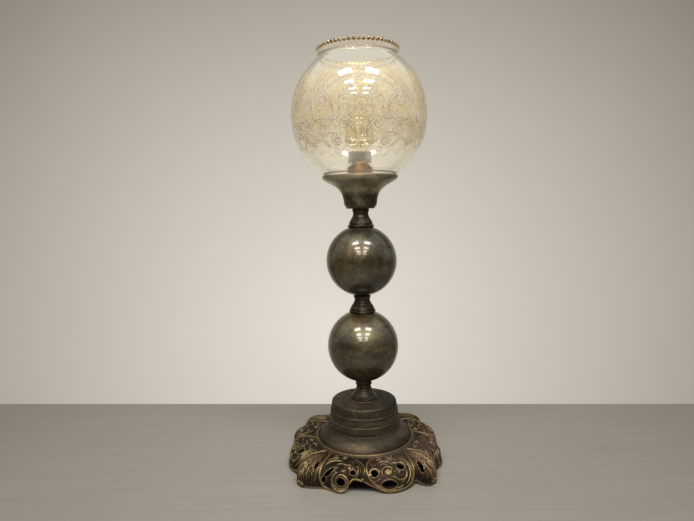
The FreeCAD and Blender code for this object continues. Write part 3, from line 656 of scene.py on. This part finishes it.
def band_surface(bearings, rises):
    """Points just outside the globe at a bearing from the front and a rise above the band's foot."""
    level = BAND_FOOT + np.clip(rises, 0, BAND_TALL)
    radius = np.sqrt(GLOBE_ARC ** 2 - (level - GLOBE_MIDDLE) ** 2) + GLOBE_WIDE - GLOBE_ARC + FILM_GAP
    angle = np.radians(bearings)
    return np.column_stack([radius * np.sin(angle), -radius * np.cos(angle), level])


def band_radius(rise):
    """One radius serves at every rise of the band."""
    return BAND_RADIUS


def lustre_ornament():
    """One quarter of the band: a palmette at the front, paired scrolls beside it and rosettes between."""
    d = Drawing(band_surface, band_radius, QUARTER)
    for side in (-1, 1):
        def at(bearing, rise):
            return (side * bearing, rise)

        def curl(bearing, rise, outer, inner, turns, start, *lead):
            d.spiral(at(bearing, rise), outer, inner, side * turns, start if side > 0 else 180 - start,
                     SCROLL_WIDTH, lead=[at(*point) for point in lead])

        curl(30.5, 50, 8.2, 1.4, -1.45, 100, (21, 34), (22.5, 45))
        curl(31.5, 22, 7.4, 1.3, 1.4, 110, (40, 36), (38.6, 30))
        curl(20.5, 9.5, 5.2, 1.2, -1.3, 80, (27, 16), (24.8, 17))
        curl(9.0, 60, 5.0, 1.1, 1.3, 250, (17, 47), (15.5, 52))
        curl(12.5, 25, 4.6, 1.0, -1.25, 90, (4.5, 12), (5.5, 20))
        for points in BAND_LEAVES:
            d.stroke([at(*point) for point in points], LEAF_WIDTH)
    d.fan((0, 44), 20, 160, 7, 4.0, 19.0, 1.3)
    d.fan((0, 44), 200, 340, 5, 3.5, 11.0, 1.2)
    d.boss((0, 44), 2.4, 1.0)
    d.stroke([(0, 34), (0.4, 24), (0, 13)], 1.2)
    d.fan((0, 9), 230, 310, 3, 1.5, 7.5, 1.1)
    for bearing in (-HALF_QUARTER, HALF_QUARTER):
        d.fan((bearing, 26), 0, 300, 6, 2.2, 7.5, 1.7)
        d.boss((bearing, 26), 1.8, 1.0)
        d.fan((bearing, 44), 50, 130, 5, 3.0, 24.0, 1.1)
        d.fan((bearing, 10), 235, 305, 3, 1.0, 6.5, 1.0)
    return d


def lustre_band():
    """Four fine sheets that hug the glass, with the ornament stored on their vertices."""
    piece, across, up, where = sheet_of(
        "lustre_band_0", BAND_COLUMNS, BAND_ROWS,
        lambda x, y: band_surface(QUARTER * x - HALF_QUARTER, y * BAND_TALL))
    angle = np.radians((QUARTER * across - HALF_QUARTER) * 4)
    rise = up * BAND_TALL
    top = 90 + 2.5 * np.cos(angle) + 1.4 * np.cos(angle * 3)
    foot = 11 - 2.5 * np.cos(angle * 2) - 2.0 * np.abs(np.sin(angle * 3))
    band = np.clip((top - rise) / 16.0, 0, 1) ** 0.7 * np.clip((rise - foot) / 2.5, 0, 1)
    keep_as(piece, "band", band)
    keep_as(piece, "scroll", lustre_ornament().relief(where))
    for face in piece.data.polygons:
        face.use_smooth = True
    for quarter in four_quarters(piece, "lustre_band"):
        dress(finished(quarter, "globe", "globe_glass"), "lustre_film")


lustre_band()


# ---- cast skirt
RING_RADIUS, RING_LEVEL, BULGE = 53.8, 22.2, 3.5
SLOPE, SLOPE_LENGTH = 0.9, 34.0
# how far out the skirt's edge stands and how high, in millimetres, at bearings from the front
SKIRT_REACH = ((-45, 94), (-43, 94), (-38, 89.3), (-33, 85), (-29, 83), (-24, 84), (-19, 85.3), (-14, 83),
               (-10, 79.3), (-4, 78.3), (0, 78.8), (5, 80.3), (10, 83.2), (17, 85.6), (24, 85.4), (30, 83.8),
               (35.5, 82.5), (38, 87), (41, 93), (45, 94))
SKIRT_FOOT = ((-45, 0), (-38, 0), (-29, 0), (-24, 0), (-16, 2.5), (-13, 8.5), (-10, 12), (-5, 10.7), (-1, 8),
              (4, 5), (8, 2.5), (13, 0.2), (20, 0), (30, 0), (33, 1.5), (35.5, 4), (37.5, 2), (39.5, 0),
              (45, 0))
REACH_TABLE = np.array(smooth(SKIRT_REACH, 8))
FOOT_TABLE = np.array(smooth(SKIRT_FOOT, 8))
PROFILE = np.linspace(0, math.pi / 2, 90)
profiles = {}


def skirt_profile(bearing):
    """Radius, height and length along the skirt from its ring to its edge, at one bearing."""
    key = round(((bearing + HALF_QUARTER) % QUARTER) - HALF_QUARTER, 2)
    if key not in profiles:
        reach = np.interp(key, *REACH_TABLE.T)
        foot = max(np.interp(key, *FOOT_TABLE.T), 0.0)
        radius = RING_RADIUS + (reach - RING_RADIUS) * np.sin(PROFILE) ** (2 / BULGE)
        level = foot + (RING_LEVEL - foot) * np.cos(PROFILE) ** (2 / BULGE)
        run = np.concatenate([[0], np.cumsum(np.hypot(np.diff(radius), np.diff(level)))])
        profiles[key] = (radius, level, run)
    return profiles[key]


def skirt_lengths(bearings):
    """The length of the skirt from its ring to its edge, at each bearing."""
    return np.array([skirt_profile(bearing)[2][-1] for bearing in bearings])


def skirt_surface(bearings, down):
    """Points of the plain skirt at a bearing from the front and a distance down from its ring."""
    made = np.zeros((len(bearings), 3))
    for index, (bearing, distance) in enumerate(zip(bearings, down)):
        radius, level, run = skirt_profile(bearing)
        r, h = np.interp(distance, run, radius), np.interp(distance, run, level)
        angle = math.radians(bearing)
        made[index] = (r * math.sin(angle), -r * math.cos(angle), h)
    return made


def skirt_radius(down):
    """The skirt's radius at a distance down from its ring, near enough for ornaments."""
    return RING_RADIUS + min(max(down, 0.0), SLOPE_LENGTH) * SLOPE


# places on the skirt are a bearing from the front and a distance down from its ring
LOBE_BORDERS = (
    ((8, 1.5), (4, 5), (1.2, 10), (-0.4, 16), (-0.3, 23), (1.8, 29.5), (5, 35), (9, 40.5), (14, 43.6),
     (20, 44.5), (26, 43.6), (31, 40.5), (34, 35), (35.4, 28), (37, 18), (40, 8), (42, 3)),
    ((-3.4, 30), (-6, 33), (-9.5, 33), (-12, 36.5), (-14.4, 41), (-18, 44.3), (-22, 45.6), (-27, 45.2),
     (-31, 42.4), (-33.4, 37), (-34.4, 30), (-35.4, 20), (-37.4, 10), (-40, 3)))
# three points and a width
CORNER_RIBS = (
    ((-43.5, 4), (-40, 20), (-38.0, 46), 0.75), ((-46, 5), (-42.4, 22), (-40.6, 53), 0.8),
    ((-48, 7), (-45, 24), (-43.6, 54), 0.85), ((-50, 9), (-47.6, 25), (-46.6, 54), 0.8),
    ((-51, 14), (-50, 28), (-49.4, 50), 0.75), ((-47, 6), (-43.8, 23), (-42.2, 54), 0.55),
    ((-45, 4.5), (-41.3, 21), (-39.4, 50), 0.55), ((-49, 8), (-46.3, 24), (-45.2, 54), 0.55))
# width, height and points
SKIRT_STROKES = (
    # beside the lobes' borders
    (1.0, 1.2, (-17, 2), (-12, 5), (-8, 8.5), (-4.5, 13), (-2.6, 18), (-2.2, 24), (-3.6, 30)),
    (0.7, 0.9, (-15, 4.5), (-10.5, 9), (-7, 13.5), (-5.2, 18.5), (-5, 24), (-6.5, 29)),
    (0.7, 0.9, (9.5, 3.5), (5.4, 7.5), (3, 12), (2, 16)),
    # right lobe
    (0.6, 1.1, (21.6, 31.4), (24.2, 31.8), (26.2, 29.8)),
    (0.95, 1.6, (14.0, 32.2), (18.4, 31.8), (20.8, 34.6), (24.4, 35.2), (27.6, 33.0), (28.2, 29.4),
     (26.6, 28.4)),
    (0.75, 1.3, (10.6, 31.0), (7.4, 31.4), (4.6, 33.8), (5.6, 36.8)),
    (0.8, 1.3, (24.8, 39.4), (22.6, 41.6), (18.6, 42.4)),
    (0.75, 1.2, (7.2, 35.4), (9.2, 39.0), (13.2, 41.8)),
    (1.1, 1.4, (9, 13), (13, 11), (17.5, 12.5), (20, 17), (19.6, 22)),
    (0.8, 1.1, (10, 16.5), (13.5, 15), (16, 17.5), (16.4, 20.5)),
    (1.0, 1.3, (22.4, 38.4), (25.5, 36), (28, 31.5), (29.6, 26)),
    (1.0, 1.5, (24.6, 41.4), (28.5, 38), (31.2, 32), (32, 25), (31.6, 18), (30, 11), (28.2, 6)),
    (0.8, 1.3, (30.4, 40), (33, 33), (33.6, 25), (33.6, 17), (32.4, 10), (30.6, 4.4)),
    (0.8, 1.2, (29.6, 26), (30, 19), (28.6, 12), (26.2, 7.2)),
    (0.95, 1.4, (26.2, 15), (24.4, 10), (21.4, 6.6), (18.4, 6.2)),
    (0.7, 1.1, (23.2, 12.6), (20.6, 10), (17.4, 9.4)),
    # left lobe
    (0.75, 1.3, (-31.5, 40), (-29.4, 42.4), (-25, 43.6), (-20.5, 43.3), (-16, 41.4)),
    (0.85, 1.3, (-10.2, 20), (-7.2, 18), (-6.8, 22.5), (-7.4, 27.5), (-9.6, 30.4), (-12.4, 31)),
    (0.9, 1.3, (-25.5, 19), (-21.5, 16.4), (-17.5, 16.5), (-16, 14)),
    (1.05, 1.5, (-33, 25), (-31.6, 18), (-28, 13.4), (-23.4, 12), (-19.8, 12.6)),
    (0.8, 1.2, (-33.8, 18), (-32, 12), (-28.6, 8), (-25.4, 7)),
    (0.8, 1.2, (-15, 8.4), (-12.4, 11), (-10.6, 14.6)),
    (0.7, 1.0, (-17.4, 9.6), (-14.8, 12.6), (-13.6, 15)),
    (0.6, 1.2, (-12.6, 40.4), (-14.8, 43.0), (-18.6, 43.8)),
    # corner foot
    (0.8, 1.3, (-36.6, 16), (-35.8, 28), (-36.4, 40), (-38.8, 46)),
)


def carved_ornament():
    """The scrolls, leaves, ribs and bosses of one quarter of the skirt."""
    d = Drawing(skirt_surface, skirt_radius, QUARTER)
    # the plain band below the ring, and the borders that frame each lobe
    d.stroke([(a, 1.2) for a in range(-45, 46, 9)], 0.9, 0.9, False)
    for width, height, *points in SKIRT_STROKES:
        d.stroke(points, width, height)
    for points in LOBE_BORDERS:
        d.stroke(points, 1.25, 1.4, False)
    # right lobe: a dome under a fan of petals, curling leaves and long sweeping ribs
    d.boss((15.0, 26.2), 4.2, 1.4)
    d.fan((15.0, 24.4), 20, 160, 6, 0.6, 5.4, 0.62, 1.75)
    d.boss((15.0, 24.2), 1.3, 1.9)
    d.spiral((21.2, 28.6), 2.5, 0.8, 1.1, 200, 0.7, 1.3, lead=[(18.8, 23.4), (19.4, 25.4)])
    d.spiral((14.6, 26.4), 6.3, 5.6, -0.60, 330, 0.9, 1.6, lead=[(20.5, 19.5)])
    d.spiral((5.2, 24.8), 4.9, 4.2, 0.85, 160, 0.9, 1.3, lead=[(10.5, 18)])
    d.spiral((25.6, 22.6), 5.2, 4.4, 0.8, 250, 1.0, 1.5, lead=[(17, 17), (20, 15)])
    d.fan((12, 6.4), 150, 400, 7, 1.2, 3.3, 0.85, 1.3)
    d.boss((12, 6.4), 1.4, 1.7)
    d.fan((21, 4.6), 100, 440, 7, 0.9, 2.7, 0.75, 1.2)
    d.boss((21, 4.6), 1.1, 1.5)
    d.boss((25.8, 4.6), 1.5, 1.6)
    for start in (2.2, 3.6):
        for step in range(3):
            ends = [(start + step * 2.3, 12.5 + step * 0.6), (start + 0.6 + step * 2.1, 16 + step * 0.4)]
            d.stroke(ends, 0.7, 1.0)
    for low, high, reach in ((3.0, 19.5, 2.4), (2.2, 23.0, 2.2), (33.4, 12.0, 2.0), (33.0, 16.0, 2.0)):
        d.stroke([(low, high), (low + reach, high - 2.4)], 0.6, 1.0)
    for step in range(7):
        d.stroke([(22.8 + step * 1.3, 39.6 - step * 3.6), (24.0 + step * 1.25, 41.4 - step * 3.8)], 0.5, 1.1)
    d.fan((8.6, 21.6), 20, 160, 4, 1.0, 3.6, 0.6, 1.2)
    d.fan((18.4, 13.4), 200, 340, 4, 0.8, 2.8, 0.6, 1.1)
    # left lobe: the spiral round its eye, slotted border and small leaves
    d.spiral((-18.2, 35.6), 10.6, 5.0, -1.35, 235, 1.15, 1.7, lead=[(-32.6, 27.5)])
    d.spiral((-18.2, 35.6), 7.9, 4.9, -0.85, 215, 0.75, 1.3)
    d.boss((-13.6, 20.6), 2.4, 1.8)
    d.spiral((-13.6, 20.6), 4.4, 3.5, 0.9, 120, 0.8, 1.3)
    d.fan((-21.6, 5.8), 0, 330, 8, 1.5, 3.0, 0.8, 1.3)
    d.boss((-21.6, 5.8), 1.3, 1.7)
    d.spiral((-30.4, 6.4), 3.4, 0.8, 1.3, 300, 0.75, 1.3)
    for step in range(6):
        d.stroke([(-31.4 + step * 1.5, 30.4 - step * 2.3), (-29.4 + step * 1.5, 32.2 - step * 2.3)],
                 0.5, 1.0)
    d.fan((-24.6, 23.4), 150, 330, 5, 0.8, 3.6, 0.6, 1.2)
    d.fan((-17.4, 25.6), 180, 400, 6, 1.0, 3.4, 0.65, 1.2)
    d.boss((-17.4, 25.6), 1.3, 1.5)
    d.spiral((-23.6, 40.8), 2.6, 0.7, 1.2, 120, 0.6, 1.2)
    # the corner foot: ribs that fan out from beside the lobes
    for first, middle, last, width in CORNER_RIBS:
        d.stroke([first, middle, last], width, 1.5)
    for bearing in (-42.4, -44.6, -46.8, -48.8):
        d.stroke([(bearing, 26), (bearing + 0.5, 38), (bearing + 0.6, 49)], 0.5, 1.2)
    d.fan((-45, 51.5), 200, 340, 6, 0.8, 4.0, 0.7, 1.5)
    d.boss((-45, 51.5), 1.8, 1.5)
    return d


def opening(centre, long_half, short_half, tilt, point=0.0):
    """An opening as millimetres round its centre: an oval, or a leaf with two ends drawn to a point."""
    swing = np.radians(np.arange(0, 360, 6))
    lean = math.radians(tilt)
    across, along = long_half * np.cos(swing), short_half * np.sin(swing) * np.abs(np.sin(swing)) ** point
    return centre, np.column_stack([across * math.cos(lean) - along * math.sin(lean),
                                    across * math.sin(lean) + along * math.cos(lean)])


LEAF_POINT = 0.45
PIERCINGS = [opening(*measures) for measures in (
    ((-18.2, 35.6), 4.1, 3.7, 0), ((-10.4, 25), 2.5, 2.3, 0), ((5.2, 24.8), 3.5, 3.3, 0),
    ((14.6, 37.8), 7.8, 3.9, 15, LEAF_POINT), ((25.6, 22.6), 3.6, 3.8, 0), ((-28.0, 27.5), 6.2, 1.7, -52),
    ((-31.0, 35.8), 1.7, 2.8, 10), ((-38.6, 27), 1.5, 5.6, -6), ((39.6, 31), 1.7, 6.4, 6),
    ((-46.4, 36), 1.2, 4.2, 0))]
SKIRT_WALL, SKIRT_COLUMNS, SKIRT_ROWS = 2.2, 288, 112
CARVING_DEPTH, CARVING_GROUND, CARVING_FULL = 0.85, 0.55, 1.6


def cast_quarter():
    """One quarter of the skirt: a fine sheet, pierced, given its wall and carved on its outer face."""
    def place(across, up):
        bearing = QUARTER * across - HALF_QUARTER
        return skirt_surface(bearing, skirt_lengths(bearing) * (1 - up))

    piece, across, up, plain_skirt = sheet_of("skirt_quarter", SKIRT_COLUMNS, SKIRT_ROWS, place)
    bearing = QUARTER * across - HALF_QUARTER
    down = skirt_lengths(bearing) * (1 - up)
    corners = np.zeros(len(piece.data.polygons) * 4, int)
    piece.data.polygons.foreach_get("vertices", corners)
    corners = corners.reshape(-1, 4)
    gone = np.zeros(len(corners), bool)
    rims = []
    for (middle, distance), outline in PIERCINGS:
        for turn in (-QUARTER, 0, QUARTER):
            offset = np.radians(bearing - middle - turn) * skirt_radius(distance)
            mid_x, mid_y = offset[corners].mean(1), (down - distance)[corners].mean(1)
            hit = inside(outline, mid_x, mid_y)
            if not hit.any():
                continue
            gone |= hit
            sides = zip(outline, np.roll(outline, -1, 0))
            fine = np.vstack([np.linspace(a, b, 8, endpoint=False) for a, b in sides])
            rims.append(skirt_surface(middle + turn + np.degrees(fine[:, 0] / skirt_radius(distance)),
                                      distance + fine[:, 1]))
    rim = np.vstack(rims)
    edge = np.intersect1d(np.unique(corners[gone]), np.unique(corners[~gone]))
    border = (across[edge] > 1e-6) & (across[edge] < 1 - 1e-6)
    for index in edge[border]:
        nearest = np.linalg.norm(rim - plain_skirt[index], axis=1).argmin()
        plain_skirt[index] = rim[nearest]
    relief = carved_ornament().relief(plain_skirt)
    rim_gap = np.array([np.linalg.norm(rim - point, axis=1).min() for point in plain_skirt])
    relief = np.maximum(relief, np.exp(-((rim_gap - 0.7) / 0.8) ** 2))
    fade = np.clip(down / 1.5, 0, 1)
    lip = np.exp(-((up - 0.012) / 0.022) ** 2)
    relief = np.maximum(relief * fade, 0.9 * lip)
    piece.data.vertices.foreach_set("co", (plain_skirt * MM).ravel())
    keep_as(piece, "relief", relief)
    mode("EDIT")
    bpy.ops.mesh.select_mode(type="FACE")
    bpy.ops.mesh.select_all(action="DESELECT")
    mode("OBJECT")
    piece.data.polygons.foreach_set("select", gone)
    mode("EDIT")
    bpy.ops.mesh.delete(type="FACE")
    mode("OBJECT")
    outer = len(piece.data.vertices)
    wall = piece.modifiers.new("wall", "SOLIDIFY")
    wall.thickness, wall.offset = SKIRT_WALL * MM, -1.0
    bpy.ops.object.modifier_apply(modifier="wall")
    total = len(piece.data.vertices)
    place_now, facing = np.zeros(total * 3), np.zeros(total * 3)
    carved = np.zeros(total, dtype=np.float32)
    piece.data.vertices.foreach_get("co", place_now)
    piece.data.vertices.foreach_get("normal", facing)
    piece.data.attributes["relief"].data.foreach_get("value", carved)
    place_now, facing = place_now.reshape(-1, 3), facing.reshape(-1, 3)
    on_face = (np.arange(total) < outer).astype(float)
    around = np.degrees(np.arctan2(place_now[:, 0], -place_now[:, 1]))
    at_side = np.abs(np.abs(around) - HALF_QUARTER) < 0.02
    sideways = np.where(at_side[:, None], place_now * (1, 1, 0), facing)
    sideways /= np.linalg.norm(sideways, axis=1)[:, None] + 1e-12
    place_now += sideways * ((carved - CARVING_GROUND) * on_face * MM)[:, None] * CARVING_DEPTH
    place_now[:, 2] = np.maximum(place_now[:, 2], 0.0)
    piece.data.vertices.foreach_set("co", place_now.ravel())
    keep_as(piece, "carved", np.clip(carved / CARVING_FULL, 0, 1) * on_face)
    piece.data.update()
    bpy.ops.object.shade_smooth_by_angle(angle=math.radians(50))
    return piece


def cast_skirt():
    for quarter in four_quarters(cast_quarter(), "skirt_quarter"):
        finished(quarter, "stand", "cast_brass", "base_casting")
    finished(seat_ring(), "stand", "cast_brass")


cast_skirt()


# ---- stage, light and camera
def fading(name, near, far, centre, reach, roughness, streaks=0.0, stretch=(1, 1, 1), painted_glow=0.0, under=None):
    """A plain surface with a painted pool of light: palest at its centre and evenly darker up to its reach,
    with fine streaks.

    Under the lamp it can carry a painted shadow: under is (radius, radius where that has faded, colour).
    """
    finish = Finish(name, Roughness=roughness)
    grain = finish.noise(1.0, 5.0, 0.7, where=finish.place(scale=stretch))
    # palest at the centre and darker out to the reach: a painted pool of light
    tone = (finish.distance(centre) * (1.0 / reach) + (grain - 0.5) * streaks).clamped()
    colour = finish.mix(tone, near, far)
    # a painted shadow: the floor is darkened under the lamp's base, where its shade falls
    if under:
        covered, clear, dark = under
        colour = finish.mix(finish.distance().above(covered, clear), dark, colour)
    # the emission is a painted glow: the surface gives off light though it is no lamp (only the wall's is
    # above zero)
    finish.drive(Base_Color=colour, Emission_Color=colour, Emission_Strength=painted_glow)
    return finish.material


# the floor's near edge and the two ends of its far edge, and the wall, in metres
NEAR_EDGE, EDGE_LEFT, EDGE_RIGHT, FLOOR_SIDE = -1.4, 0.2245, 0.0729, 1.6
WALL_BACK, WALL_SIDE, WALL_LOW, WALL_HIGH = 2.2, 6.0, -1.5, 3.5


def plane(name, corners, material):
    clear_selection()
    bpy.ops.mesh.primitive_plane_add(size=1.0)
    piece = bpy.context.object
    piece.name = name
    for vertex, corner in zip(piece.data.vertices, corners):
        vertex.co = corner
    piece.data.materials.append(material)
    return piece


def stage():
    """A grey table top whose far edge shows level in the rolled camera, and a pale wall behind: both with
    painted pools of light, the table with a painted shadow under the lamp and the wall with a painted glow.
    """
    # the floor: a painted pool of light round the lamp, and a painted shadow under its base
    grey = fading("floor_grey", (0.262, 0.242, 0.212), (0.160, 0.142, 0.122), (-0.03, -0.02, 0), 0.55,
                  0.38, 1.2, (5, 300, 1), under=(0.070, 0.080, (0.012, 0.011, 0.010)))
    floor = plane("floor", ((-FLOOR_SIDE, NEAR_EDGE, 0), (FLOOR_SIDE, NEAR_EDGE, 0),
                            (-FLOOR_SIDE, EDGE_LEFT, 0), (FLOOR_SIDE, EDGE_RIGHT, 0)), grey)
    # the wall: a painted pool of light, palest low behind the lamp, and a painted glow
    cream = fading("wall_cream", (0.79, 0.745, 0.675), (0.178, 0.155, 0.122), (-0.1, WALL_BACK, -0.42),
                   3.25, 0.9, 0.04, (1.5, 1.5, 1.5), 0.55)
    sides = (-WALL_SIDE, WALL_SIDE)
    wall = plane("wall", [(x, WALL_BACK, z) for z in (WALL_LOW, WALL_HIGH) for x in sides], cream)


def placed(name, data):
    item = bpy.data.objects.new(name, data)
    bpy.context.scene.collection.objects.link(item)
    return item


LAMP_ROWS = (-3.70, -2.77, -1.84, -0.91)
LAMP_SIDE, LAMP_HEIGHT, LAMP_POWER = 0.63, 2.1, 17.0
LAMP_WIDE, LAMP_LONG, LAMP_COLOUR = 0.66, 0.34, (1.0, 0.985, 0.95)
SKY = ((0.0, (0.06, 0.055, 0.045)), (0.20, (0.08, 0.073, 0.060)), (0.45, (0.40, 0.385, 0.355)),
       (1.0, (0.76, 0.74, 0.70)))
SKY_BEHIND = 0.24


def lights():
    """Two lines of ceiling lamps, and a room that is pale above and dark at eye level."""
    world = bpy.data.worlds.new("room")
    world.use_nodes = True
    tree = world.node_tree
    new, link = tree.nodes.new, tree.links.new
    coords, parts, sky = new("ShaderNodeTexCoord"), new("ShaderNodeSeparateXYZ"), new("ShaderNodeValToRGB")
    set_stops(sky.color_ramp, SKY)
    link(coords.outputs["Generated"], parts.inputs[0])
    behind, tilt = new("ShaderNodeMath"), new("ShaderNodeMath")
    behind.operation, tilt.operation = "MULTIPLY_ADD", "ADD"
    behind.inputs[1].default_value = behind.inputs[2].default_value = SKY_BEHIND
    link(parts.outputs["Y"], behind.inputs[0])
    link(parts.outputs["Z"], tilt.inputs[0])
    link(behind.outputs[0], tilt.inputs[1])
    link(tilt.outputs[0], sky.inputs[0])
    link(sky.outputs[0], tree.nodes["Background"].inputs[0])
    bpy.context.scene.world = world
    facing_down = Vector((0, 0, LAMP_HEIGHT)).to_track_quat("Z", "Y").to_euler()
    for row, depth in enumerate(LAMP_ROWS):
        for side in (-1, 1):
            name = "ceiling_%d_%d" % (row, side)
            lamp = bpy.data.lights.new(name, "AREA")
            lamp.shape, lamp.size, lamp.size_y = "RECTANGLE", LAMP_WIDE, LAMP_LONG
            lamp.energy, lamp.color = LAMP_POWER, LAMP_COLOUR
            item = placed(name, lamp)
            item.rotation_euler = facing_down
            item.location = (side * LAMP_SIDE, depth, LAMP_HEIGHT)


EYE, LENS, SENSOR, SHIFT_DOWN, ROLL = (-0.0152, -0.583, 0.2758), 27.0, 36.0, -0.0757, -1.03


def camera():
    """The photograph's viewpoint: level, shifted down, and rolled so that the lamp leans left."""
    data = bpy.data.cameras.new("camera")
    data.lens, data.sensor_width, data.shift_y = LENS, SENSOR, SHIFT_DOWN
    data.clip_start, data.clip_end = 0.02, 30.0
    item = placed("camera", data)
    item.matrix_world = (Matrix.Translation(EYE) @ Matrix.Rotation(math.radians(90), 4, "X")
                         @ Matrix.Rotation(math.radians(ROLL), 4, "Z"))
    bpy.context.scene.camera = item


stage()
lights()
camera()
bpy.context.scene.view_settings.view_transform = "Standard"
